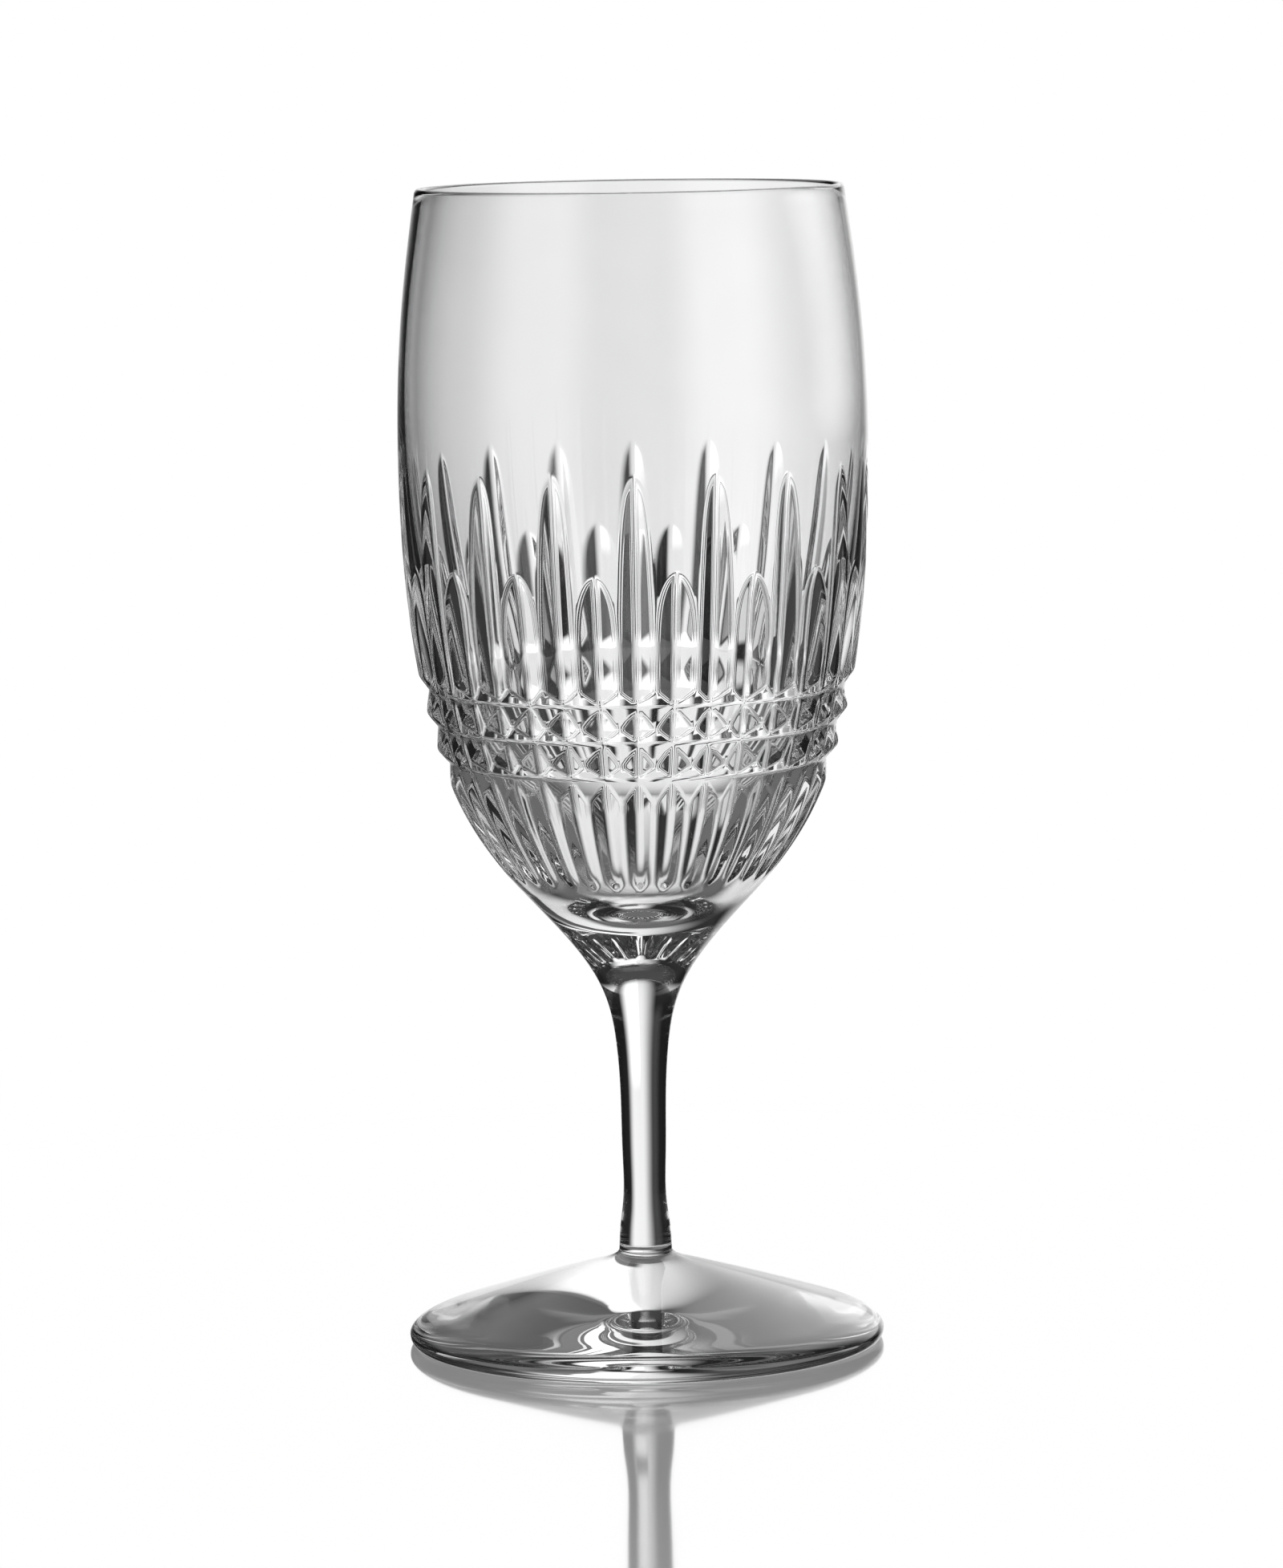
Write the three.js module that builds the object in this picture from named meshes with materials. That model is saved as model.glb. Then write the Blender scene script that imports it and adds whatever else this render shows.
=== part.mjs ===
// A stemmed drinking glass of cut crystal: a foot, a stem and a bowl, stacked on one upright axis.
// Each is a gather of glass of its own, and they meet face to face at two flat seams.
// Millimetres, +Z up. The origin is the middle of the foot's underside, at table height.
import * as THREE from "three";

// Foot, from the table up: a standing ring, a rounded edge, a shallow cone and a fillet to the stem
const FOOT_RADIUS = 42.2;
const FOOT_EDGE_HEIGHT = 1.9;
const FOOT_EDGE_RISE = 3.8;
const FOOT_EDGE_DEPTH = 6.2;
const FOOT_CONE_RISE = 8.7;
const FOOT_FILLET_RISE = 2.1;
const FOOT_FILLET_REACH = 3.3;
const STANDING_RING_INSET = 2.4;
const STANDING_RING_WIDTH = 6;
const FOOT_HOLLOW_DEPTH = 1.2;

// Stem: radii of the solid rod, each with its rise above the one before
const STEM_END_RADIUS = 4.7;
const STEM_SWELL_RADIUS = 4.4;
const STEM_SWELL_RISE = 4.5;
const STEM_WAIST_RADIUS = 3.95;
const STEM_WAIST_RISE = 3.5;
const STEM_ROD_RADIUS = 3.9;
const STEM_ROD_RISE = 9.5;
const STEM_FLARE_RADIUS = 5.85;
const STEM_FLARE_RISE = 26;
const STEM_TOP_RADIUS = 8.4;
const STEM_TOP_RISE = 6;

// Bowl: outer radii before cutting, each with its rise above the one before, and the wall there
const BASE_RADIUS = 13.1;
const BASE_RISE = 6.5;
const HEEL_RADIUS = 25.55;
const HEEL_RISE = 14;
const HEEL_WALL = 8.5;
const BAND_FOOT_RADIUS = 34.15;
const BAND_FOOT_RISE = 16;
const BAND_FOOT_WALL = 5;
const BAND_HEAD_RADIUS = 38.5;
const BAND_HEAD_RISE = 17;
const BAND_HEAD_WALL = 4.1;
const FLANK_RADIUS = 40.25;
const FLANK_RISE = 13.5;
const FLANK_WALL = 3.05;
const BELLY_RADIUS = 41.4;
const BELLY_RISE = 27;
const BELLY_WALL = 1.35;
const SHOULDER_RADIUS = 40.3;
const SHOULDER_RISE = 24;
const SHOULDER_WALL = 1.2;
const RIM_RADIUS = 37.6;
const RIM_RISE = 21;
const RIM_WALL = 1.15;
const BASE_THICKNESS = 12.2;
const FLOOR_RADIUS = 6;
const FLOOR_RISE = 0.85;
const COVE_RADIUS = 12;
const COVE_RISE = 3.7;

// Upright mitre grooves, tall and short by turns, measured up from the bowl's seam
const GROOVE_PAIRS = 18;
const GROOVE_ANGLE = 125;
const GROOVE_FOOT_RISE = 17.5;
const GROOVE_FOOT_ROUNDING = 2;
const SHORT_TIP_RISE = 74.1;
const TALL_TIP_RISE = 90.2;
const TIP_ROUNDING = 2.6;
const TALL_TIP_SHARE = 0.48;
const TALL_TIP_TAPER = 20;
const RIDGE_LAND = 0.15;

// Ring grooves that cross the upright ones and leave two rows of pointed diamonds
const RING_COUNT = 3;
const LOWEST_RING_RISE = 37.7;
const RING_PITCH = 6.6;
const RING_DEPTH = 1.4;
const RING_UPPER_SHARE = 0.44;

// How finely curved surfaces are divided
const FOOT_SIDES = 72;
const STEM_SIDES = 36;
const CURVE_STEPS = 4;
const STEM_ROWS = 16;
const LIP_ROWS = 4;
const LINING_ROWS = 10;
const LONGEST_ROW = 7;
const SHORTEST_ROW = 0.3;
const TIP_ROWS = [0.6, 2.4];
const SLOPE_STEP = 0.01;

const CLEAR_GLASS = 0xf1f4f5;

const pitch = Math.PI / GROOVE_PAIRS;
const grooveSlope = Math.tan(THREE.MathUtils.degToRad(GROOVE_ANGLE / 2));
const tallGroove = { tip: TALL_TIP_RISE, roundShare: TALL_TIP_SHARE };
const shortGroove = { tip: SHORT_TIP_RISE, roundShare: 1 };

// Stations given as [radius, rise above the last, wall], with the rises summed to heights
function stackStations(stations) {
  let height = 0;
  return stations.map(([radius, rise, wall]) => {
    height += rise;
    return { radius, height, wall };
  });
}

// Radius as a smooth function of height through the stations
function outlineThrough(stations) {
  const heights = stations.map((station) => station.height);
  const radii = stations.map((station) => station.radius);
  const curve = new THREE.CubicInterpolant(heights, radii, 1);
  return (height) => curve.evaluate(height)[0];
}

const stemStations = stackStations([
  [STEM_END_RADIUS, 0],
  [STEM_SWELL_RADIUS, STEM_SWELL_RISE],
  [STEM_WAIST_RADIUS, STEM_WAIST_RISE],
  [STEM_ROD_RADIUS, STEM_ROD_RISE],
  [STEM_FLARE_RADIUS, STEM_FLARE_RISE],
  [STEM_TOP_RADIUS, STEM_TOP_RISE],
]);
const stemRadius = outlineThrough(stemStations);
const stemLength = stemStations.at(-1).height;
const footHeight = FOOT_EDGE_HEIGHT + FOOT_EDGE_RISE + FOOT_CONE_RISE + FOOT_FILLET_RISE;

const bowlStations = stackStations([
  [STEM_TOP_RADIUS, 0],
  [BASE_RADIUS, BASE_RISE],
  [HEEL_RADIUS, HEEL_RISE, HEEL_WALL],
  [BAND_FOOT_RADIUS, BAND_FOOT_RISE, BAND_FOOT_WALL],
  [BAND_HEAD_RADIUS, BAND_HEAD_RISE, BAND_HEAD_WALL],
  [FLANK_RADIUS, FLANK_RISE, FLANK_WALL],
  [BELLY_RADIUS, BELLY_RISE, BELLY_WALL],
  [SHOULDER_RADIUS, SHOULDER_RISE, SHOULDER_WALL],
  [RIM_RADIUS, RIM_RISE, RIM_WALL],
]);
const bowlRadius = outlineThrough(bowlStations);
const bowlHeight = bowlStations.at(-1).height;
const lipHeight = bowlHeight - RIM_WALL / 2;

// A turned solid from a profile of [radius, height] points that starts and ends on the axis
function turned(profile, sides) {
  return new THREE.LatheGeometry(profile, sides).rotateX(Math.PI / 2);
}

function footGeometry() {
  const standingOuter = FOOT_RADIUS - STANDING_RING_INSET;
  const standingInner = standingOuter - STANDING_RING_WIDTH;
  const shoulderRadius = FOOT_RADIUS - FOOT_EDGE_DEPTH;
  const shoulderHeight = FOOT_EDGE_HEIGHT + FOOT_EDGE_RISE;
  const coneTopRadius = STEM_END_RADIUS + FOOT_FILLET_REACH;
  const coneTopHeight = shoulderHeight + FOOT_CONE_RISE;
  const coneSlope = FOOT_CONE_RISE / (shoulderRadius - coneTopRadius);
  const edgeCorner = shoulderHeight - FOOT_EDGE_DEPTH * coneSlope;
  const filletCorner = coneTopHeight + FOOT_FILLET_REACH * coneSlope;
  const profile = new THREE.Path();
  profile.moveTo(0, FOOT_HOLLOW_DEPTH);
  profile.quadraticCurveTo(standingInner / 2, FOOT_HOLLOW_DEPTH, standingInner, 0);
  profile.lineTo(standingOuter, 0);
  profile.quadraticCurveTo(FOOT_RADIUS, 0, FOOT_RADIUS, FOOT_EDGE_HEIGHT);
  profile.quadraticCurveTo(FOOT_RADIUS, edgeCorner, shoulderRadius, shoulderHeight);
  profile.lineTo(coneTopRadius, coneTopHeight);
  profile.quadraticCurveTo(STEM_END_RADIUS, filletCorner, STEM_END_RADIUS, footHeight);
  profile.lineTo(0, footHeight);
  return turned(profile.getPoints(CURVE_STEPS), FOOT_SIDES);
}

function stemGeometry() {
  const profile = [new THREE.Vector2(0, 0)];
  for (let row = 0; row <= STEM_ROWS; row++) {
    const height = (stemLength * row) / STEM_ROWS;
    profile.push(new THREE.Vector2(stemRadius(height), height));
  }
  profile.push(new THREE.Vector2(0, stemLength));
  return turned(profile, STEM_SIDES);
}

// Half the width of an upright groove at a height, as a share of half the pitch: pointed at both ends
function grooveShare(groove, height) {
  const belowTip = groove.tip - height;
  const aboveFoot = height - GROOVE_FOOT_RISE;
  if (belowTip <= 0 || aboveFoot <= 0) return 0;
  const roundedPart = groove.roundShare * Math.exp(-belowTip / TIP_ROUNDING);
  const taperedPart = (1 - groove.roundShare) * Math.exp(-belowTip / TALL_TIP_TAPER);
  return (1 - roundedPart - taperedPart) * (1 - Math.exp(-aboveFoot / GROOVE_FOOT_ROUNDING));
}

const ringHeights = Array.from({ length: RING_COUNT }, (_, ring) => LOWEST_RING_RISE + ring * RING_PITCH);
const ringReachAbove = RING_PITCH * RING_UPPER_SHARE;
const ringReachBelow = RING_PITCH - ringReachAbove;

// How deep the ring grooves are at a height: each falls straight to its middle, from nearer above than below
function ringDepthAt(height) {
  const depths = ringHeights.map((ring) => {
    const reach = height > ring ? ringReachAbove : ringReachBelow;
    return 1 - Math.abs(height - ring) / reach;
  });
  return RING_DEPTH * Math.max(0, ...depths);
}

// One row of points round the cut bowl: for each groove its valley, then the two sides of the ridge after it.
// Cuts sink below the uncut surface along that surface's normal.
function cutRow(height) {
  const uncutRadius = bowlRadius(height);
  const flare = (bowlRadius(height + SLOPE_STEP) - bowlRadius(height - SLOPE_STEP)) / (2 * SLOPE_STEP);
  const normalLength = Math.hypot(1, flare);
  const place = (angle, depth) => {
    const radius = uncutRadius - depth / normalLength;
    const lift = (depth * flare) / normalLength;
    return new THREE.Vector3(radius * Math.sin(angle), -radius * Math.cos(angle), height + lift);
  };
  const ringDepth = ringDepthAt(height);
  const halfPitch = (uncutRadius * pitch) / 2;
  const cut = (groove) => {
    const halfWidth = grooveShare(groove, height) * (halfPitch - RIDGE_LAND / 2);
    const depth = Math.max(halfWidth / grooveSlope, ringDepth);
    const open = Math.max(halfWidth - ringDepth * grooveSlope, RIDGE_LAND);
    const side = halfWidth > 0 ? open : (2 * halfPitch) / 3;
    return { depth, sideAngle: side / uncutRadius };
  };
  const tall = cut(tallGroove);
  const short = cut(shortGroove);
  const points = [];
  for (let index = 0; index < 2 * GROOVE_PAIRS; index++) {
    const [here, next] = index % 2 ? [short, tall] : [tall, short];
    const angle = index * pitch;
    points.push(place(angle, here.depth));
    points.push(place(angle + here.sideAngle, ringDepth));
    points.push(place(angle + pitch - next.sideAngle, ringDepth));
  }
  return points;
}

// One row of points round an uncut circle, as many as in a cut row
function plainRow(radius, height) {
  const count = 6 * GROOVE_PAIRS;
  return Array.from({ length: count }, (_, index) => {
    const angle = (2 * Math.PI * index) / count;
    return new THREE.Vector3(radius * Math.sin(angle), -radius * Math.cos(angle), height);
  });
}

// Heights of the cut rows: every edge of the pattern, with long gaps filled evenly
function cutRowHeights() {
  const edges = [0, GROOVE_FOOT_RISE, SHORT_TIP_RISE, TALL_TIP_RISE, lipHeight];
  for (const ring of ringHeights) edges.push(ring - ringReachBelow, ring, ring + ringReachAbove);
  for (const step of TIP_ROWS) {
    edges.push(GROOVE_FOOT_RISE + step, SHORT_TIP_RISE - step, TALL_TIP_RISE - step);
  }
  const sorted = edges.filter((edge) => edge <= lipHeight).sort((low, high) => low - high);
  const heights = [0];
  for (const edge of sorted) {
    const last = heights.at(-1);
    if (edge - last < SHORTEST_ROW) continue;
    const rows = Math.ceil((edge - last) / LONGEST_ROW);
    for (let row = 1; row <= rows; row++) heights.push(last + ((edge - last) * row) / rows);
  }
  return heights;
}

// The bowl's inside, from the lip down to the middle of its floor
function liningProfile() {
  const walled = bowlStations.filter((station) => station.wall && station.height < bowlHeight);
  const floor = [
    new THREE.Vector2(0, BASE_THICKNESS),
    new THREE.Vector2(FLOOR_RADIUS, BASE_THICKNESS + FLOOR_RISE),
    new THREE.Vector2(COVE_RADIUS, BASE_THICKNESS + COVE_RISE),
  ];
  const side = walled.map(({ radius, height, wall }) => new THREE.Vector2(radius - wall, height));
  const lip = new THREE.Vector2(RIM_RADIUS - RIM_WALL, lipHeight);
  return new THREE.SplineCurve([...floor, ...side, lip]).getPoints(LINING_ROWS).reverse();
}

// A closed surface over rows of points that run bottom to top outside, then top to bottom inside
function loft(rows, bottomHeight, floorHeight) {
  const count = rows[0].length;
  const points = rows.flat();
  const bottom = points.push(new THREE.Vector3(0, 0, bottomHeight)) - 1;
  const floor = points.push(new THREE.Vector3(0, 0, floorHeight)) - 1;
  const lastRow = (rows.length - 1) * count;
  const triangles = [];
  for (let column = 0; column < count; column++) {
    const next = (column + 1) % count;
    triangles.push(bottom, next, column, floor, lastRow + column, lastRow + next);
    for (let row = 0; row < lastRow; row += count) {
      triangles.push(row + column, row + next, row + count + next);
      triangles.push(row + column, row + count + next, row + count + column);
    }
  }
  const geometry = new THREE.BufferGeometry().setFromPoints(points).setIndex(triangles);
  geometry.computeVertexNormals();
  return geometry;
}

function bowlGeometry() {
  const outside = cutRowHeights().map(cutRow);
  const lip = [];
  for (let row = 1; row < LIP_ROWS; row++) {
    const turn = (Math.PI * row) / LIP_ROWS;
    const radius = RIM_RADIUS - (RIM_WALL / 2) * (1 - Math.cos(turn));
    lip.push(plainRow(radius, lipHeight + (RIM_WALL / 2) * Math.sin(turn)));
  }
  const lining = liningProfile();
  const inside = lining.slice(0, -1).map((point) => plainRow(point.x, point.y));
  return loft([...outside, ...lip, ...inside], 0, BASE_THICKNESS);
}

// A named piece of clear crystal
function piece(name, geometry) {
  const crystal = new THREE.MeshStandardMaterial({
    color: CLEAR_GLASS,
    roughness: 0.03,
    metalness: 0,
    transparent: true,
    opacity: 0.35,
  });
  const mesh = new THREE.Mesh(geometry, crystal);
  mesh.name = name;
  return mesh;
}

const onStem = new THREE.Group();
onStem.position.z = stemLength;
onStem.add(piece("bowl", bowlGeometry()));

const onFoot = new THREE.Group();
onFoot.position.z = footHeight;
onFoot.add(piece("stem", stemGeometry()), onStem);

const glass = new THREE.Group();
glass.add(piece("foot", footGeometry()), onFoot);

export default glass;
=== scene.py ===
"""A tall stemmed glass of cut crystal on a pale studio table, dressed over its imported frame.

The bowl, the stem and the foot are closed meshes that meet at two flat seams, where the glass is fused.
Sizes are in millimetres and become metres when a mesh is made. +Z is up and the camera stands at -Y.
"""

from __future__ import annotations

import logging
import math
from dataclasses import dataclass, field
from enum import Enum

import bpy
import numpy as np
from mathutils import Matrix


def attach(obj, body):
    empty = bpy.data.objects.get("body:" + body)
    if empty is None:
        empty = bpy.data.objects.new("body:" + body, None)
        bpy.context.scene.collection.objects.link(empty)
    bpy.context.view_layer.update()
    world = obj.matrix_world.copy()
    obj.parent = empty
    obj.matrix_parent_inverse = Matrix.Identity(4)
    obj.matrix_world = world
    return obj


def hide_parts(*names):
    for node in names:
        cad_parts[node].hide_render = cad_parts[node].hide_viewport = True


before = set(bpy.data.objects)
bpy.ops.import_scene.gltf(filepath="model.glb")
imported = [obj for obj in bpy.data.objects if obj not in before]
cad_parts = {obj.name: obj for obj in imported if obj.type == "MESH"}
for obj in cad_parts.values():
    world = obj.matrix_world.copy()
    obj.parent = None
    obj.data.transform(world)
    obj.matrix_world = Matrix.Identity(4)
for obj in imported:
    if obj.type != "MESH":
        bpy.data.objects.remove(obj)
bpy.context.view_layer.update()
log = logging.getLogger("stemmed_glass")

METRES = 0.001
PITCHES = 36
COLUMNS_PER_PITCH = 10
SIDES = PITCHES * COLUMNS_PER_PITCH
SLOPE_REACH = 0.01
CRYSTAL_INDEX = 1.545
CUT_SHARE = "cut"

# Directions in degrees over which the studio fades out towards the table and towards the ceiling
LOW_FADE = (-44, -28)
HIGH_FADE = (35, 55)

# Counts on a light path that tell light that met no mirror, and light that crossed more than two surfaces
NO_REFLECTIONS = 0.5
TWO_SURFACES = 2.5

# Light paths long enough for cut glass
LONGEST_PATH = 40
MOST_REFLECTIONS = 24


class Polish(Enum):
    """The two ways in which this crystal's surfaces are finished, by their roughness."""

    FIRE = 0.0016
    CUT = 0.0024


class Signal:
    """A shader socket that takes part in Python expressions."""

    def __init__(self, graph: Graph, socket: bpy.types.NodeSocket) -> None:
        """Keeps the socket and the graph that new nodes go into."""
        self.graph = graph
        self.socket = socket

    def maths(self, operation: str, *others: Signal | float) -> Signal:
        """Puts this value, and any others, through one Math node."""
        sockets = dict(enumerate((self, *others)))
        return self.graph.node("ShaderNodeMath", {"operation": operation}, sockets)

    def sibling(self, name: str) -> Signal:
        """Gives another output of the same node."""
        return Signal(self.graph, self.socket.node.outputs[name])

    def step(self, low: float, high: float) -> Signal:
        """Rises smoothly from 0 at low to 1 at high, or falls where low is the larger.

        Args:
            low: The value at which the result is 0.
            high: The value at which the result is 1.

        Returns:
            The smooth step.
        """
        if low > high:
            return 1 - self.step(high, low)
        sockets = {"Value": self, "From Min": low, "From Max": high}
        return self.graph.node("ShaderNodeMapRange", {"interpolation_type": "SMOOTHSTEP"}, sockets)

    def fade(self, start: float, full: float) -> Signal:
        """Goes smoothly from 0 at one direction in degrees to 1 at another."""
        return self.step(math.radians(start), math.radians(full))

    def between(self, start: float, full: float, full_end: float, end: float) -> Signal:
        """Is 1 between two directions in degrees, and fades to 0 on either side."""
        return self.fade(start, full) * self.fade(end, full_end)

    def __add__(self, other: Signal | float) -> Signal:
        """This plus another."""
        return self.maths("ADD", other)

    def __radd__(self, other: float) -> Signal:
        """A number plus this."""
        return self.maths("ADD", other)

    def __sub__(self, other: Signal | float) -> Signal:
        """This less another."""
        return self.maths("SUBTRACT", other)

    def __rsub__(self, other: float) -> Signal:
        """A number less this."""
        return (self * -1).maths("ADD", other)

    def __mul__(self, other: Signal | float) -> Signal:
        """This times another."""
        return self.maths("MULTIPLY", other)

    def __rmul__(self, other: float) -> Signal:
        """A number times this."""
        return self.maths("MULTIPLY", other)

    def __pow__(self, other: float) -> Signal:
        """This to a power."""
        return self.maths("POWER", other)

    def at_least(self, other: Signal | float) -> Signal:
        """The larger of this and another."""
        return self.maths("MAXIMUM", other)


class Graph:
    """A node tree that shader expressions add their nodes to."""

    def __init__(self, tree: bpy.types.NodeTree) -> None:
        """Clears the tree."""
        self.tree = tree
        tree.nodes.clear()

    def node(
        self,
        kind: str,
        settings: dict[str, object] | None = None,
        sockets: dict[str | int, object] | None = None,
        out: str | int = 0,
    ) -> Signal | None:
        """Adds one node.

        Args:
            kind: Blender's name for the type of node.
            settings: Properties of the node, which are set before its sockets.
            sockets: A value or a Signal for each input that is used.
            out: The output that is wanted.

        Returns:
            That output, or None where the node has no outputs.
        """
        made = self.tree.nodes.new(kind)
        for name, value in (settings or {}).items():
            setattr(made, name, value)
        for key, value in (sockets or {}).items():
            if isinstance(value, Signal):
                self.tree.links.new(value.socket, made.inputs[key])
            else:
                made.inputs[key].default_value = value
        return Signal(self, made.outputs[out]) if made.outputs else None

    def mix(self, factor: Signal, low: tuple[float, ...], high: tuple[float, ...]) -> Signal:
        """Mixes two colours by a factor."""
        sockets = {"Factor": factor, 6: low, 7: high}
        return self.node("ShaderNodeMix", {"data_type": "RGBA"}, sockets, 2)


@dataclass(frozen=True)
class Crystal:
    """Clear crystal: colourless, drawn slightly uneven by hand and bright from polishing."""

    light_tint: tuple[float, ...] = (0.993, 0.993, 0.9965, 1)
    deep_tint: tuple[float, ...] = (0.98, 0.98, 0.9845, 1)
    tint_edges: tuple[float, float] = (0.3, 0.7)
    wave_size: float = 14
    wave_height: float = 0.012
    ripple_size: float = 3.2
    ripple_height: float = 0.002
    haze_fineness: float = 6
    least_haze: float = 0.6
    haze_span: float = 0.8

    def material(self) -> bpy.types.Material:
        """Builds the material.

        Returns:
            A glass whose tint, polish and faint waviness follow its own pieces.
        """
        made = bpy.data.materials.new("clear_crystal")
        made.use_nodes = True
        graph = Graph(made.node_tree)
        place = graph.node("ShaderNodeTexCoord", out="Object")
        cut = graph.node("ShaderNodeAttribute", {"attribute_name": CUT_SHARE}, out="Fac")
        waves = self.noise(graph, place, self.wave_size, 1)
        ripples = self.noise(graph, place, self.ripple_size, 2)
        haze = self.noise(graph, place, self.ripple_size / self.haze_fineness, 3)
        polish = Polish.FIRE.value + cut * (Polish.CUT.value - Polish.FIRE.value)
        height = waves * self.wave_height + ripples * cut * self.ripple_height
        normal = graph.node("ShaderNodeBump", None, {"Strength": 1, "Distance": METRES, "Height": height})
        sockets = {
            "Base Color": graph.mix(waves.step(*self.tint_edges), self.light_tint, self.deep_tint),
            "Roughness": polish * (self.least_haze + haze * self.haze_span),
            "Normal": normal,
            "IOR": CRYSTAL_INDEX,
            "Transmission Weight": 1,
        }
        glass = graph.node("ShaderNodeBsdfPrincipled", None, sockets)
        graph.node("ShaderNodeOutputMaterial", None, {"Surface": glass})
        return made

    @staticmethod
    def noise(graph: Graph, place: Signal, size: float, detail: float) -> Signal:
        """Noise with features of a size in millimetres, from 0 to 1."""
        sockets = {"Vector": place, "Scale": 1 / (size * METRES), "Detail": detail, "Roughness": 0.5}
        return graph.node("ShaderNodeTexNoise", None, sockets, "Fac")


@dataclass(frozen=True)
class FusedSeam:
    """The inside of a hot joint, where two gathers have become one and light passes straight on."""

    opacity: float = 0

    def material(self) -> bpy.types.Material:
        """Builds the material of the hidden faces at a seam.

        Returns:
            A clear material that does not bend light.
        """
        made = bpy.data.materials.new("fused_seam")
        made.use_nodes = True
        graph = Graph(made.node_tree)
        sockets = {"Alpha": self.opacity, "Transmission Weight": 1, "IOR": CRYSTAL_INDEX}
        clear = graph.node("ShaderNodeBsdfPrincipled", None, sockets)
        graph.node("ShaderNodeOutputMaterial", None, {"Surface": clear})
        return made


class Outline:
    """A natural cubic through points: one value as a smooth function of another."""

    def __init__(self, places: list[float], values: list[float]) -> None:
        """Finds the bends at the points.

        Args:
            places: Rising places along the line.
            values: The value at each place.
        """
        self.places = np.array(places, float)
        self.values = np.array(values, float)
        gaps = np.diff(self.places)
        slopes = np.diff(self.values) / gaps
        count = len(places)
        system = np.eye(count)
        target = np.zeros(count)
        for index in range(1, count - 1):
            before, after = gaps[index - 1], gaps[index]
            system[index, index - 1 : index + 2] = before, 2 * (before + after), after
            target[index] = 6 * (slopes[index] - slopes[index - 1])
        self.bends = np.linalg.solve(system, target)

    def at(self, place: np.ndarray | float) -> np.ndarray | float:
        """Reads the line.

        Args:
            place: A place along the line, or many.

        Returns:
            The value there, or the values.
        """
        index = np.clip(np.searchsorted(self.places, place) - 1, 0, len(self.places) - 2)
        gap = self.places[index + 1] - self.places[index]
        left = (self.places[index + 1] - place) / gap
        right = 1 - left
        straight = left * self.values[index] + right * self.values[index + 1]
        bend = (left**3 - left) * self.bends[index] + (right**3 - right) * self.bends[index + 1]
        return straight + bend * gap**2 / 6

    def slope(self, place: np.ndarray | float) -> np.ndarray | float:
        """The rate of change at a place."""
        return (self.at(place + SLOPE_REACH) - self.at(place - SLOPE_REACH)) / (2 * SLOPE_REACH)


@dataclass
class Skin:
    """A closed surface over rows of points that run from one pole on the axis to another."""

    rows: list[np.ndarray]
    first_pole: float
    last_pole: float
    first_is_seam: bool = False
    last_is_seam: bool = False
    crease: float = 18

    def build(
        self, name: str, cut: np.ndarray | None = None, normals: np.ndarray | None = None
    ) -> bpy.types.Object:
        """Makes the mesh and its object.

        Args:
            name: The piece's name.
            cut: How far each point of the rows is cut rather than blown, from 0 to 1.
            normals: The surface's own normals at the first points of the rows.

        Returns:
            The object, in the scene's collection, in metres.
        """
        count = len(self.rows[0])
        body = np.concatenate(self.rows)
        poles = np.array([[0, 0, self.first_pole], [0, 0, self.last_pole]])
        points = np.concatenate([body, poles]) * METRES
        faces = self.faces(len(self.rows), count)
        mesh = bpy.data.meshes.new(name)
        mesh.from_pydata(points.tolist(), [], faces)
        seams = np.zeros(len(faces), np.int32)
        seams[:count] = int(self.first_is_seam)
        seams[count : 2 * count] = int(self.last_is_seam)
        mesh.polygons.foreach_set("material_index", seams)
        mesh.shade_smooth()
        mesh.set_sharp_from_angle(angle=math.radians(self.crease))
        if cut is not None:
            layer = mesh.attributes.new(CUT_SHARE, "FLOAT", "POINT")
            layer.data.foreach_set("value", np.concatenate([cut, [0, 0]]).astype(np.float32))
        if normals is not None:
            directions = np.zeros((len(points), 3), np.float32)
            mesh.vertex_normals.foreach_get("vector", directions.ravel())
            directions[: len(normals)] = normals
            mesh.normals_split_custom_set_from_vertices(directions.tolist())
        made = bpy.data.objects.new(name, mesh)
        bpy.context.scene.collection.objects.link(made)
        return made

    @staticmethod
    def faces(row_count: int, count: int) -> list[tuple[int, ...]]:
        """Lists the faces: the fan at the first pole, the fan at the last, then the bands between rows.

        Args:
            row_count: How many rows there are.
            count: How many points a row has.

        Returns:
            The faces as tuples of point numbers, seen counter-clockwise from outside.
        """
        first, last = row_count * count, row_count * count + 1
        top = (row_count - 1) * count
        turn = [(column, (column + 1) % count) for column in range(count)]
        faces: list[tuple[int, ...]] = [(first, after, column) for column, after in turn]
        faces += [(last, top + column, top + after) for column, after in turn]
        for start in range(0, top, count):
            above = start + count
            faces += [(start + a, start + b, above + b, above + a) for a, b in turn]
        return faces


def turned_row(radius: float, height: float) -> np.ndarray:
    """A plain round row of points."""
    angles = np.arange(SIDES) * (2 * np.pi / SIDES)
    return round_points(angles, np.full(SIDES, radius), np.full(SIDES, height))


def round_points(angles: np.ndarray, radii: np.ndarray, heights: np.ndarray) -> np.ndarray:
    """Points about the axis, with angle 0 towards the camera."""
    return np.stack([radii * np.sin(angles), -radii * np.cos(angles), heights], axis=1)


def softened(offset: np.ndarray, reach: float) -> np.ndarray:
    """The size of an offset, rounded off within a reach of zero."""
    size = np.abs(offset)
    return np.where(size < reach, size**2 / (2 * reach) + reach / 2, size)


def eased(place: np.ndarray, low: float, high: float) -> np.ndarray:
    """Rises smoothly from 0 at low to 1 at high."""
    share = np.clip((place - low) / (high - low), 0, 1)
    return share**2 * (3 - 2 * share)


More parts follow.
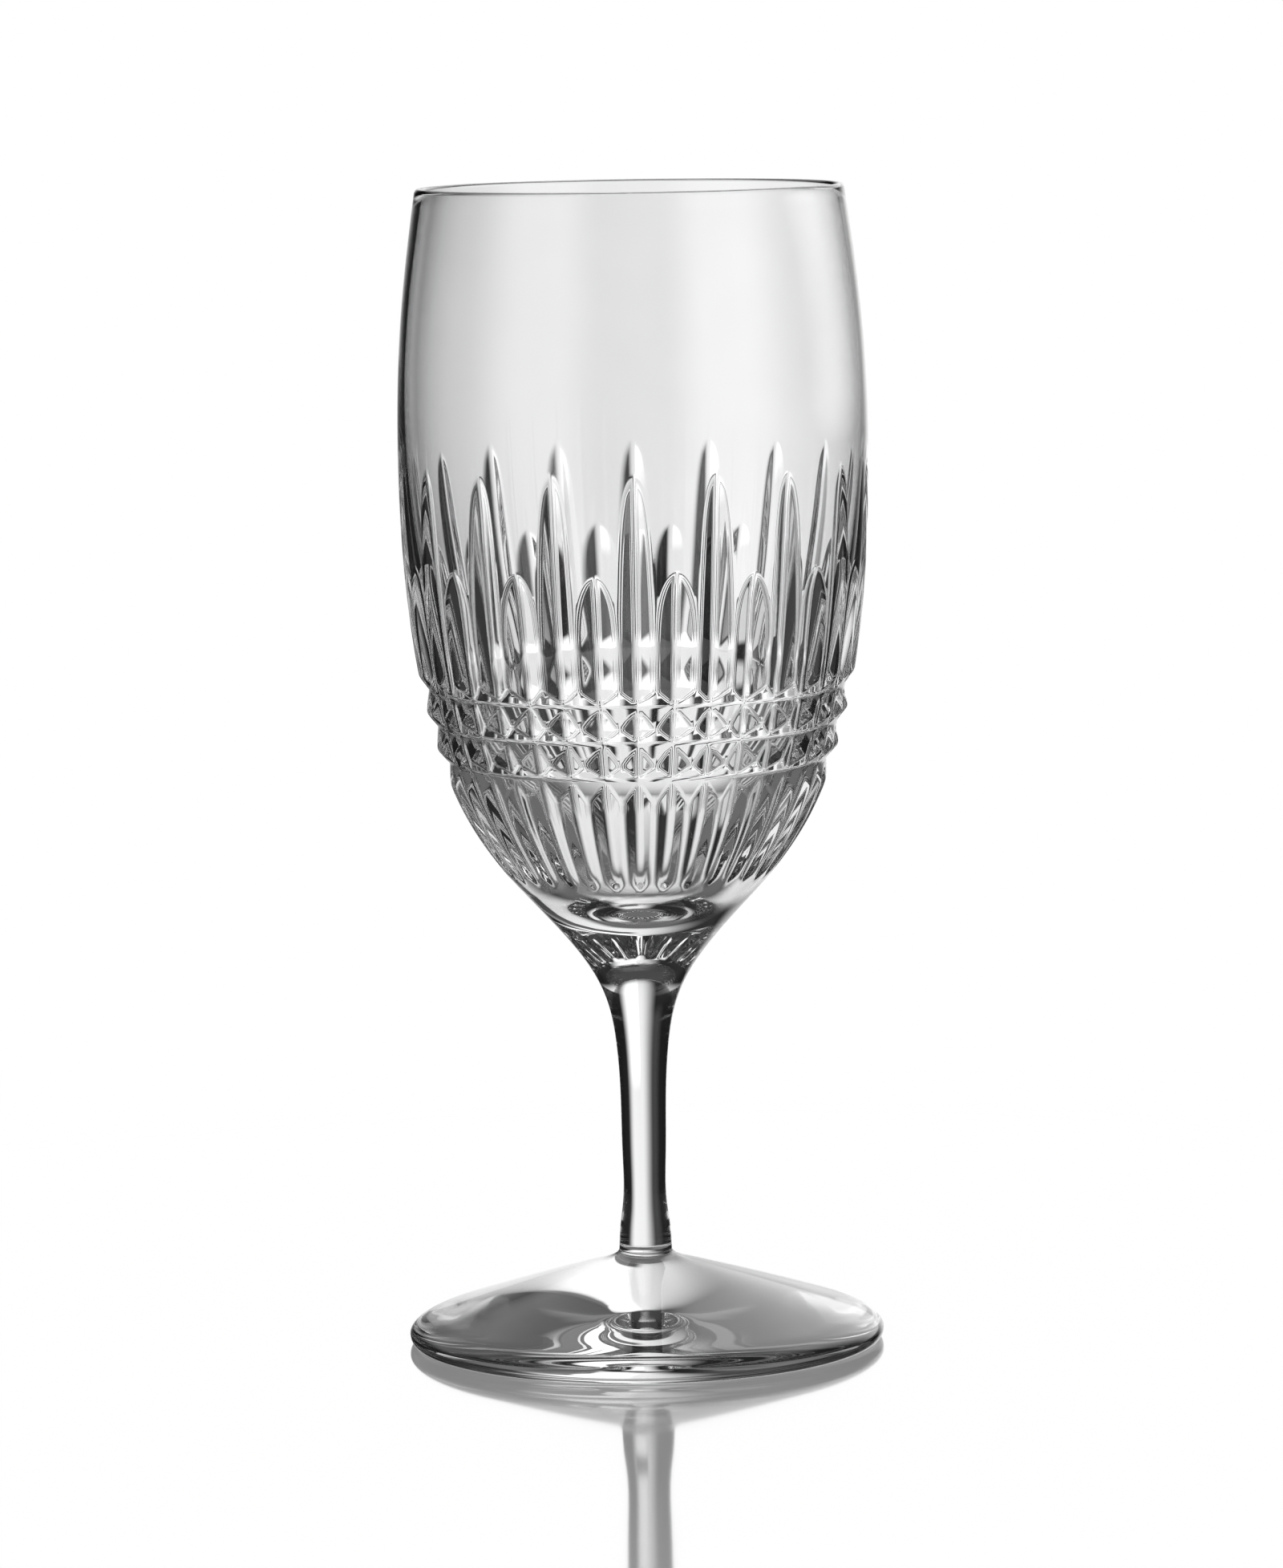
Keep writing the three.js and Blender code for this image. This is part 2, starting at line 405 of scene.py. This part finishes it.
def larger(one: np.ndarray, other: np.ndarray, blend: np.ndarray | float) -> np.ndarray:
    """The larger of two depths, with the edge between them rounded over a blend of depths."""
    overlap = np.maximum(blend - np.abs(one - other), 0) / blend
    return np.maximum(one, other) + overlap**2 * blend / 4


def spread(start: float, edges: list[tuple[float, float]]) -> np.ndarray:
    """Spaces rows evenly between the edges of a surface.

    Args:
        start: The first row's height.
        edges: Rising heights that each have a row, with the longest step on the way up to each.

    Returns:
        The heights of all rows.
    """
    slack = 1e-6
    heights = [start]
    for edge, longest in edges:
        rows = max(1, math.ceil((edge - heights[-1]) / longest - slack))
        heights += np.linspace(heights[-1], edge, rows + 1)[1:].tolist()
    return np.array(heights)


def bowed(
    start: tuple[float, float], corner: tuple[float, float], end: tuple[float, float], steps: int
) -> list[tuple[float, float]]:
    """Points along a quadratic curve, without its start.

    Args:
        start: Where the curve begins.
        corner: The point that its two tangents meet at.
        end: Where it ends.
        steps: How many points are wanted.

    Returns:
        The points as (radius, height).
    """
    points = []
    for share in np.linspace(0, 1, steps + 1)[1:]:
        weights = ((1 - share) ** 2, 2 * share * (1 - share), share**2)
        radius = sum(w * p[0] for w, p in zip(weights, (start, corner, end)))
        height = sum(w * p[1] for w, p in zip(weights, (start, corner, end)))
        points.append((radius, height))
    return points


@dataclass
class OuterLine:
    """The glass's uncut outer line from the foot's seam to the rim, as heights above the table and radii."""

    stations: list[tuple[float, float]] = field(
        default_factory=lambda: [
            (16.5, 4.7), (21, 4.4), (24.5, 3.95), (34, 3.9), (46, 4.13), (54, 4.74), (60, 5.85), (66, 8.4),
            (72.5, 13.1), (86.5, 25.55), (102.5, 34.15), (119.5, 38.5), (133, 40.25), (160, 41.4),
            (184, 40.3), (205, 37.6),
        ]
    )

    def curve(self) -> Outline:
        """The radius as a function of height."""
        return Outline([height for height, _ in self.stations], [radius for _, radius in self.stations])


class GlassPiece:
    """A piece of the glass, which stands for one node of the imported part."""

    node: str

    def build(self) -> bpy.types.Object:
        """Makes the piece's mesh and object."""
        raise NotImplementedError

    def dress(self, piece: bpy.types.Object, crystal: bpy.types.Material, seam: bpy.types.Material) -> None:
        """Gives the piece its two finishes and ties it to the frame.

        Args:
            piece: The piece's object.
            crystal: The finish of its open faces.
            seam: The finish of its faces inside a joint.
        """
        piece.data.materials.append(crystal)
        piece.data.materials.append(seam)
        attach(piece, "root")
        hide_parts(self.node)


@dataclass
class RoundFoot(GlassPiece):
    """The pressed foot: a standing ring, a rounded edge, a shallow cone and a fillet up to the stem."""

    node: str = "foot"
    radius: float = 42.2
    edge_height: float = 1.9
    edge_rise: float = 3.8
    edge_depth: float = 6.2
    cone_rise: float = 8.7
    cone_crown: float = 0.15
    fillet_rise: float = 2.1
    fillet_reach: float = 3.3
    ring_inset: float = 2.4
    ring_width: float = 6
    hollow_depth: float = 1.2
    top_radius: float = 4.7
    hollow_rows: int = 24
    ring_rows: int = 4
    under_edge_rows: int = 10
    upper_edge_rows: int = 14
    cone_rows: int = 20
    fillet_rows: int = 12

    def profile(self) -> list[tuple[float, float]]:
        """The turned line from the middle of the hollow underside to the seam with the stem.

        Returns:
            (radius, height) points, without the two that lie on the axis.
        """
        ring_outer = self.radius - self.ring_inset
        ring_inner = ring_outer - self.ring_width
        shoulder = (self.radius - self.edge_depth, self.edge_height + self.edge_rise)
        cone_top = (self.top_radius + self.fillet_reach, shoulder[1] + self.cone_rise)
        slope = self.cone_rise / (shoulder[0] - cone_top[0])
        middle = ((shoulder[0] + cone_top[0]) / 2, (shoulder[1] + cone_top[1]) / 2 + 2 * self.cone_crown)
        edge_corner = (self.radius, shoulder[1] - self.edge_depth * slope)
        fillet_corner = (self.top_radius, cone_top[1] + self.fillet_reach * slope)
        top = (self.top_radius, cone_top[1] + self.fillet_rise)
        widest = (self.radius, self.edge_height)
        under = np.linspace(0, ring_inner, self.hollow_rows + 1)[1:]
        line = [(radius, self.hollow_depth * (1 - (radius / ring_inner) ** 2)) for radius in under]
        line += bowed((ring_inner, 0), ((ring_inner + ring_outer) / 2, 0), (ring_outer, 0), self.ring_rows)
        line += bowed((ring_outer, 0), (self.radius, 0), widest, self.under_edge_rows)
        line += bowed(widest, edge_corner, shoulder, self.upper_edge_rows)
        line += bowed(shoulder, middle, cone_top, self.cone_rows)
        line += bowed(cone_top, fillet_corner, top, self.fillet_rows)
        return line

    def build(self) -> bpy.types.Object:
        """Makes the foot.

        Returns:
            The foot's object.
        """
        line = self.profile()
        rows = [turned_row(radius, height) for radius, height in line]
        return Skin(rows, self.hollow_depth, line[-1][1], last_is_seam=True).build("round_foot")


@dataclass
class DrawnStem(GlassPiece):
    """The solid stem, drawn out of the bowl's base and flared at both ends."""

    outer: Outline
    node: str = "stem"
    bottom: float = 16.5
    top: float = 66
    longest_row: float = 0.7

    def build(self) -> bpy.types.Object:
        """Makes the stem.

        Returns:
            The stem's object.
        """
        heights = spread(self.bottom, [(self.top, self.longest_row)])
        rows = [turned_row(float(self.outer.at(height)), height) for height in heights]
        fall = -np.repeat(self.outer.slope(heights), SIDES)
        outward = np.concatenate([turned_row(1, 0)] * len(heights))
        normals = np.column_stack([outward[:, :2], fall]) / np.hypot(1, fall)[:, None]
        return Skin(rows, self.bottom, self.top, True, True).build("drawn_stem", normals=normals)


@dataclass
class CutBowl(GlassPiece):
    """The blown bowl, with tall and short mitre grooves by turns and three ring grooves across them."""

    outer: Outline
    node: str = "bowl"
    seam: float = 66
    rim: float = 205
    lip: float = 1.35
    lip_rows: int = 10
    lining: list[tuple[float, float]] = field(
        default_factory=lambda: [
            (0, 78.2), (6, 79.05), (12, 81.9), (17.05, 86.5), (29.15, 102.5), (34.4, 119.5), (37.2, 133),
            (40.05, 160), (39.1, 184),
        ]
    )
    lining_rows: int = 50
    crease: float = 80

    groove_angle: float = 131
    groove_foot: float = 83.5
    foot_rounding: float = 1.4
    tall_tip: float = 157.4
    short_tip: float = 140.3
    tip_rounding: float = 3.4
    tall_share: float = 0.48
    tall_taper: float = 24
    ridge_land: float = 0.15
    valley_flat: float = 0.2
    valley_round: float = 0.9
    flat_slope: float = 0.12
    ridge_round: float = 0.22
    edge_round: float = 0.28
    upper_reach: float = 12
    overrun: float = 3
    polish_depth: float = 0.1

    rings: tuple[float, ...] = (103.7, 110.3, 116.9)
    ring_pitch: float = 6.6
    ring_depth: float = 1.4
    ring_round: float = 0.5
    ring_point: float = 0.44
    diamond_round: float = 0.32

    hand_seed: int = 11
    hand_rise: float = 0.35
    hand_width: float = 0.012
    hand_turn: float = 0.0012

    # Where the columns of points stand across a groove
    least_crease: float = 0.2
    near_share: float = 0.3
    flank_share: float = 0.6
    flank_gap: float = 0.05
    land_share: float = 0.3
    loose_reach: float = 14

    # How far apart the rows of points stand, and how far the close ones reach
    bare_step: float = 2
    plain_step: float = 1
    flute_step: float = 0.9
    upright_step: float = 0.8
    foot_step: float = 0.4
    end_step: float = 0.3
    ring_step: float = 1.2
    ring_shares: tuple[float, ...] = (-1, -0.5, 0, 0.5, 1)
    point_step: float = 0.25
    foot_lead: float = 2
    foot_reach: float = 6
    tip_lead: float = 8
    tip_reach: float = 1.2
    point_reach: float = 0.5

    def __post_init__(self) -> None:
        """Settles the small differences that cutting by hand leaves between grooves."""
        hand = np.random.default_rng(self.hand_seed)
        tall = np.arange(PITCHES) % 2 == 0
        self.tips = np.where(tall, self.tall_tip, self.short_tip) + hand.normal(0, self.hand_rise, PITCHES)
        self.round_share = np.where(tall, self.tall_share, 1)
        self.widths = 1 - np.abs(hand.normal(0, self.hand_width, PITCHES))
        self.turns = hand.normal(0, self.hand_turn, PITCHES)
        self.step = 2 * np.pi / PITCHES
        self.flank = math.tan(math.radians(self.groove_angle / 2))
        self.rim_radius = float(self.outer.at(self.rim))

    def half_width(self, groove: np.ndarray, height: np.ndarray, uncut: np.ndarray) -> np.ndarray:
        """Half the width of grooves at heights, which goes below zero past their ends.

        Args:
            groove: The grooves' numbers.
            height: Heights above the table.
            uncut: The uncut radii there.

        Returns:
            The half widths.
        """
        below = np.maximum(self.tips[groove] - height, -self.overrun)
        above = np.maximum(height - self.groove_foot, -self.overrun)
        rounded = self.round_share[groove] * np.exp(-below / self.tip_rounding)
        tapered = (1 - self.round_share[groove]) * np.exp(-below / self.tall_taper)
        share = (1 - rounded - tapered) * (1 - np.exp(-above / self.foot_rounding))
        return share * self.widths[groove] * (uncut * self.step - self.ridge_land) / 2

    def wheel(self, offset: np.ndarray) -> np.ndarray:
        """The cutting wheel's profile: a narrow flat, a round, and straight flanks at their own offsets.

        Args:
            offset: Distances from the middle of the groove.

        Returns:
            The distances at which straight flanks alone would be as deep.
        """
        flat, full = self.valley_flat, self.valley_round
        bend = (1 - self.flat_slope) / (full - flat)
        near = np.minimum(offset, flat)
        between = np.clip(offset, flat, full) - flat
        fall = self.flat_slope * (near**2 / (2 * flat) + between) + bend * between**2 / 2
        whole = self.flat_slope * (full - flat / 2) + (1 - self.flat_slope) * (full - flat) / 2
        return np.maximum(offset, full) + fall - whole

    def ring_sink(self, height: np.ndarray) -> np.ndarray:
        """How deep the ring grooves are at heights, which goes below zero away from them.

        Args:
            height: Heights above the table.

        Returns:
            The depths.
        """
        steep = self.ring_depth / (self.ring_pitch * self.ring_point)
        gentle = self.ring_depth / (self.ring_pitch * (1 - self.ring_point))
        deepest = np.full_like(height, -self.overrun, dtype=float)
        for ring in self.rings:
            offset = height - ring
            fall = (steep + gentle) / 2 * softened(offset, self.ring_round) + (steep - gentle) / 2 * offset
            deepest = larger(deepest, self.ring_depth - fall, self.diamond_round)
        return deepest

    def rounding(self, height: np.ndarray) -> tuple[np.ndarray, np.ndarray]:
        """How far ridges and edges are polished round: as the diamonds are at the rings, and less above.

        Args:
            height: Heights above the table.

        Returns:
            The rounding of the ridges between grooves, and of the grooves' outer edges.
        """
        upper = eased(height, self.rings[-1], self.rings[-1] + self.upper_reach)
        ridge = self.diamond_round + (self.ridge_round - self.diamond_round) * upper
        edge = self.diamond_round + (self.edge_round - self.diamond_round) * upper
        return ridge, edge

    def depth(self, angle: np.ndarray, height: np.ndarray, uncut: np.ndarray) -> np.ndarray:
        """How far the cuts sink below the blown surface, with every edge polished round.

        Args:
            angle: Angles round the axis.
            height: Heights above the table.
            uncut: The uncut radii there.

        Returns:
            The depths along the surface's normal.
        """
        before = np.floor(angle / self.step).astype(int)
        sinks = []
        for number in (before, before + 1):
            groove = number % PITCHES
            offset = (angle - number * self.step - self.turns[groove]) * uncut
            width = self.half_width(groove, height, uncut)
            sinks.append((width - self.wheel(np.abs(offset))) / self.flank)
        ridge, edge = self.rounding(height)
        upright = larger(sinks[0], sinks[1], ridge)
        cut = larger(upright, self.ring_sink(height), self.diamond_round)
        return larger(cut, np.zeros_like(cut), edge)

    def surface(self, angle: np.ndarray, height: np.ndarray) -> np.ndarray:
        """Finds points of the cut outside.

        Args:
            angle: Angles round the axis.
            height: Heights on the blown surface, above the table.

        Returns:
            The points.
        """
        uncut = self.outer.at(height)
        flare = self.outer.slope(height)
        depth = self.depth(angle, height, uncut) / np.hypot(1, flare)
        return round_points(angle, uncut - depth, height + depth * flare)

    def normals(self, angle: np.ndarray, height: np.ndarray) -> np.ndarray:
        """Finds the cut outside's own normals.

        Args:
            angle: Angles round the axis.
            height: Heights on the blown surface, above the table.

        Returns:
            The normals, of length 1.
        """
        turn = 2e-4
        rise = 8e-3
        along = self.surface(angle + turn, height) - self.surface(angle - turn, height)
        up = self.surface(angle, height + rise) - self.surface(angle, height - rise)
        out = np.cross(along, up)
        return out / np.linalg.norm(out, axis=1, keepdims=True)

    def columns(self, height: float) -> np.ndarray:
        """Angles of one row's points: close together at the bottoms and the edges of the grooves.

        Args:
            height: The row's height on the blown surface.

        Returns:
            The angles, ten for each groove.
        """
        uncut = float(self.outer.at(height))
        groove = np.arange(PITCHES)
        half = np.maximum(self.half_width(groove, np.full(PITCHES, height), uncut), 0)
        sink = max(float(self.ring_sink(np.array(height))), 0)
        middle = uncut * self.step / 2
        soft = float(self.rounding(np.array(height))[1]) * self.flank
        crease = np.maximum(half - sink * self.flank, self.least_crease)
        near = np.minimum(self.valley_flat, self.near_share * crease)
        flank = np.minimum(self.valley_round, self.flank_share * crease)
        inner = np.maximum(crease - soft, flank + self.flank_gap)
        outside = np.minimum(crease + soft, middle - self.land_share * (middle - inner))
        beyond = np.maximum(height - self.tips, self.groove_foot - height)
        loose = 1 - (1 - np.clip(beyond / self.loose_reach, 0, 1)) ** 3
        offsets = []
        for number, place in enumerate((near, flank, inner, outside), start=1):
            even = middle * (number / (COLUMNS_PER_PITCH / 2))
            offsets.append(place + (even - place) * loose)
        centre = groove * self.step + self.turns * (1 - loose)
        after = np.roll(centre, -1)
        after[-1] += 2 * np.pi
        angles = [centre] + [centre + offset / uncut for offset in offsets]
        angles += [(centre + after) / 2]
        angles += [after - np.roll(offset, -1) / uncut for offset in reversed(offsets)]
        return np.stack(angles, axis=1).ravel()

    def outside_heights(self) -> np.ndarray:
        """Spaces the rows up the outside: close at the ends of grooves and at the rings.

        Returns:
            The rows' heights on the blown surface.
        """
        foot = self.groove_foot
        edges = [(foot - self.foot_lead, self.plain_step), (foot, self.foot_step)]
        edges += [(foot + self.foot_reach, self.end_step)]
        reach = self.ring_pitch * self.ring_point
        first = self.rings[0] + reach - self.ring_pitch
        edges += [(first - self.point_reach, self.flute_step), (first + self.point_reach, self.point_step)]
        for ring in self.rings:
            point = ring + reach
            edges += [(ring + share * self.ring_round, self.ring_step) for share in self.ring_shares]
            edges += [(point - self.point_reach, self.ring_step)]
            edges += [(point + self.point_reach, self.point_step)]
        for tip, step in ((self.short_tip, self.plain_step), (self.tall_tip, self.upright_step)):
            edges += [(tip - self.tip_lead, step), (tip + self.tip_reach, self.end_step)]
        edges += [(self.tall_tip + self.loose_reach, self.plain_step)]
        edges += [(self.rim - self.lip / 2, self.bare_step)]
        return spread(self.seam, edges)

    def inside(self) -> list[np.ndarray]:
        """Makes the rows of the smooth inside, from the lip down to the middle of the floor.

        Returns:
            The rows of points, without the one on the axis.
        """
        stations = [*self.lining, (self.rim_radius - self.lip, self.rim - self.lip / 2)]
        mirrored = [(-radius, height) for radius, height in reversed(stations[1:])] + stations
        points = np.array(mirrored)
        along = np.concatenate([[0], np.cumsum(np.hypot(*np.diff(points, axis=0).T))])
        radius = Outline(along, points[:, 0])
        height = Outline(along, points[:, 1])
        middle = along[len(stations) - 1]
        steps = np.linspace(along[-1], middle, self.lining_rows + 1)[:-1]
        return [turned_row(float(radius.at(step)), float(height.at(step))) for step in steps]

    def build(self) -> bpy.types.Object:
        """Makes the bowl.

        Returns:
            The bowl's object.
        """
        heights = self.outside_heights()
        angles = np.concatenate([self.columns(float(height)) for height in heights])
        levels = np.repeat(heights, SIDES)
        outside = self.surface(angles, levels)
        rows = list(outside.reshape(len(heights), SIDES, 3))
        round_over = self.lip / 2
        for turn in np.linspace(0, np.pi, self.lip_rows + 1)[1:-1]:
            radius = self.rim_radius - round_over * (1 - math.cos(turn))
            rows.append(turned_row(radius, self.rim - round_over + round_over * math.sin(turn)))
        rows += self.inside()
        depth = self.depth(angles, levels, self.outer.at(levels))
        cut = np.zeros(len(rows) * SIDES)
        cut[: len(levels)] = np.clip(depth / self.polish_depth, 0, 1)
        skin = Skin(rows, self.seam, self.lining[0][1], first_is_seam=True, crease=self.crease)
        return skin.build("cut_bowl", cut, self.normals(angles, levels))


@dataclass(frozen=True)
class Panel:
    """A soft area of the studio, by the directions in degrees between which it fades in and out."""

    across: tuple[float, float, float, float]
    upright: tuple[float, float, float, float]
    level: float

    def seen(self, azimuth: Signal, rise: Signal) -> Signal:
        """Its strength in a direction."""
        return azimuth.between(*self.across) * rise.between(*self.upright) * self.level


@dataclass
class Studio:
    """The pale table and what stands round it: a lit backdrop between dark flags, and soft fills.

    Directions run round from behind the glass, to the right, and up from the horizon.
    """

    backdrop: Panel = Panel((-19, 3, 17, 33), (*LOW_FADE, *HIGH_FADE), 0.98)
    hot_spot: Panel = Panel((-2, 6, 16, 33), (-14, -4, *HIGH_FADE), 1.3)
    right_front: Panel = Panel((86, 122, 140, 166), (*LOW_FADE, 10, 25), 0.95)
    left_front: Panel = Panel((-166, -140, -122, -86), (*LOW_FADE, 15, 35), 0.6)
    left_softbox: Panel = Panel((-80, -45, 0, 12), (14, 30, 45, 62), 0.85)
    right_softbox: Panel = Panel((0, 9, 30, 60), (3, 10, 45, 62), 1.9)
    right_card: Panel = Panel((0, 4, 20, 28), (-13, -10, 3, 7), 0.9)
    dark: float = 0.012
    steep_level: float = 0.15
    ceiling_level: float = 0.06
    plain_level: float = 0.9

    near_edges: tuple[float, ...] = (32, 42, 67, 74)
    near_level: float = 0.75
    open_edges: tuple[tuple[float, ...], ...] = (
        (76, 83, 97, 104),
        (106, 113, 157, 163),
        (167, 173, 181, 182),
    )
    open_level: float = 0.92
    below_fade: tuple[float, float] = (-42, -54)
    below_level: float = 0.92

    floor_radius: float = 340
    floor_sides: int = 96
    floor_colour: float = 0.14
    floor_glow: float = 0.875
    mirror_reach: float = 320
    mirror_full: float = 190
    mirror_power: float = 1.2
    mirror_roughness: float = 0.06
    mirror_colour: float = 0.5

    def light(self) -> None:
        """Makes the world: white to the camera, plain to the table, and the studio to the glass."""
        world = bpy.data.worlds.new("studio")
        bpy.context.scene.world = world
        world.use_nodes = True
        graph = Graph(world.node_tree)
        direction = graph.node("ShaderNodeTexCoord", out="Generated")
        across = graph.node("ShaderNodeSeparateXYZ", None, {"Vector": direction}, "X")
        azimuth = across.maths("ARCTAN2", across.sibling("Y"))
        rise = across.sibling("Z").maths("ARCSINE")
        camera = graph.node("ShaderNodeLightPath", out="Is Camera Ray")
        through = camera.sibling("Is Transmission Ray")
        sharp = camera.sibling("Is Singular Ray").at_least(through)
        seen = sharp * self.glass_view(azimuth, rise, camera) + (1 - sharp) * (1 / self.mirror_colour)
        glass = camera.sibling("Is Glossy Ray").at_least(through)
        level = glass * seen + (1 - glass) * self.plain_level
        shown = camera + (1 - camera) * level
        back = graph.node("ShaderNodeBackground", None, {"Color": shown, "Strength": 1})
        graph.node("ShaderNodeOutputWorld", None, {"Surface": back})

    def glass_view(self, azimuth: Signal, rise: Signal, path: Signal) -> Signal:
        """What the glass shows of the studio, by how the light came through it.

        Args:
            azimuth: The direction round from behind the glass.
            rise: The direction's height above the horizon.
            path: An output of the node that tells the light's path.

        Returns:
            The brightness there.
        """
        through = path.sibling("Is Transmission Ray")
        straight = path.sibling("Glossy Depth").maths("LESS_THAN", NO_REFLECTIONS)
        hollow = path.sibling("Transmission Depth").maths("GREATER_THAN", TWO_SURFACES)
        solid = (1 - hollow) * (1 - straight) * through
        around = self.surroundings(azimuth, rise) * (1 - solid * self.right_card.seen(azimuth, rise))
        around = around.at_least(straight * self.open_room(azimuth, rise, hollow))
        for softbox in (self.left_softbox, self.right_softbox):
            around = around.at_least((1 - through) * softbox.seen(azimuth, rise))
        return around

    def surroundings(self, azimuth: Signal, rise: Signal) -> Signal:
        """The backdrop and the fills among the dark flags.

        Args:
            azimuth: The direction round from behind the glass.
            rise: The direction's height above the horizon.

        Returns:
            The brightness there.
        """
        steep = rise.fade(*reversed(LOW_FADE)) * self.steep_level
        high = rise.fade(*HIGH_FADE) * self.ceiling_level
        level = steep.at_least(high).at_least(self.dark)
        for panel in (self.backdrop, self.hot_spot, self.right_front, self.left_front):
            level = level.at_least(panel.seen(azimuth, rise))
        return level

    def open_room(self, azimuth: Signal, rise: Signal, hollow: Signal) -> Signal:
        """What is seen straight through the glass, away from the backdrop: a pale room and the table below.

        Args:
            azimuth: The direction round from behind the glass.
            rise: The direction's height above the horizon.
            hollow: Whether the light came through the hollow bowl rather than solid glass.

        Returns:
            The brightness there.
        """
        aside = azimuth.maths("ABSOLUTE")
        level = rise.fade(*self.below_fade) * self.below_level
        level = level.at_least(aside.between(*self.near_edges) * self.near_level * hollow)
        for edges in self.open_edges:
            level = level.at_least(aside.between(*edges) * self.open_level)
        return level * rise.fade(*reversed(HIGH_FADE))

    def table(self) -> bpy.types.Object:
        """Makes the glossy white table top.

        Returns:
            The table's object.
        """
        count = self.floor_sides
        angles = np.arange(count) * (2 * np.pi / count)
        points = round_points(angles, np.full(count, self.floor_radius), np.zeros(count)) * METRES
        mesh = bpy.data.meshes.new("table_top")
        mesh.from_pydata(points.tolist(), [], [tuple(range(count))])
        top = bpy.data.objects.new("table_top", mesh)
        bpy.context.scene.collection.objects.link(top)
        top.visible_transmission = False
        top.visible_glossy = False
        mesh.materials.append(self.table_finish())
        return top

    def table_finish(self) -> bpy.types.Material:
        """Builds the table's material.

        Returns:
            A white that keeps the glass's shadow, and its mirror image near it.
        """
        made = bpy.data.materials.new("white_table")
        made.use_nodes = True
        made.cycles.emission_sampling = "NONE"
        graph = Graph(made.node_tree)
        place = graph.node("ShaderNodeTexCoord", out="Object")
        distance = graph.node("ShaderNodeVectorMath", {"operation": "LENGTH"}, {0: place}, "Value")
        near = distance.step(self.mirror_reach * METRES, self.mirror_full * METRES)
        mirror = graph.node("ShaderNodeLayerWeight", out="Facing") ** self.mirror_power * near
        grey = (self.floor_colour,) * 3 + (1,)
        matt = graph.node("ShaderNodeBsdfDiffuse", None, {"Color": grey})
        glow = graph.node("ShaderNodeEmission", None, {"Color": (1, 1, 1, 1), "Strength": self.floor_glow})
        white = graph.node("ShaderNodeAddShader", None, {0: matt, 1: glow})
        sockets = {"Color": (self.mirror_colour,) * 3 + (1,), "Roughness": self.mirror_roughness}
        gloss = graph.node("ShaderNodeBsdfGlossy", None, sockets)
        top = graph.node("ShaderNodeMixShader", None, {"Fac": mirror, 1: white, 2: gloss})
        graph.node("ShaderNodeOutputMaterial", None, {"Surface": top})
        return made


@dataclass
class PhotoCamera:
    """The camera, where the photograph was taken from."""

    distance: float = 1225
    height: float = 242.6
    pitch: float = 6.66
    yaw: float = -0.0246
    roll: float = -0.896
    lens: float = 160.26
    sensor_width: float = 36
    nearest: float = 50

    def build(self) -> bpy.types.Object:
        """Makes the camera and puts it to use.

        Returns:
            The camera's object.
        """
        data = bpy.data.cameras.new("photo_camera")
        data.sensor_width = self.sensor_width
        data.lens = self.lens
        data.clip_start = self.nearest * METRES
        camera = bpy.data.objects.new("photo_camera", data)
        place = Matrix.Translation((0, -self.distance * METRES, self.height * METRES))
        turn = Matrix.Rotation(math.radians(self.yaw), 4, "Z")
        tip = Matrix.Rotation(math.radians(90 - self.pitch), 4, "X")
        lean = Matrix.Rotation(math.radians(self.roll), 4, "Z")
        camera.matrix_world = place @ turn @ tip @ lean
        bpy.context.scene.collection.objects.link(camera)
        bpy.context.scene.camera = camera
        return camera


def settle_view() -> None:
    """Sets plain colours, and how far light is followed through the glass."""
    scene = bpy.context.scene
    scene.view_settings.view_transform = "Standard"
    scene.cycles.max_bounces = LONGEST_PATH
    scene.cycles.transmission_bounces = LONGEST_PATH
    scene.cycles.glossy_bounces = MOST_REFLECTIONS
    scene.cycles.transparent_max_bounces = LONGEST_PATH


def main() -> None:
    """Builds the camera, the studio and the three pieces of glass."""
    logging.basicConfig(level=logging.INFO)
    settle_view()
    PhotoCamera().build()
    studio = Studio()
    studio.light()
    studio.table()
    crystal = Crystal().material()
    seam = FusedSeam().material()
    outer = OuterLine().curve()
    pieces: tuple[GlassPiece, ...] = (RoundFoot(), DrawnStem(outer), CutBowl(outer))
    for piece in pieces:
        made = piece.build()
        piece.dress(made, crystal, seam)
        log.info("%s: %d faces", made.name, len(made.data.polygons))


if __name__ == "__main__":
    main()
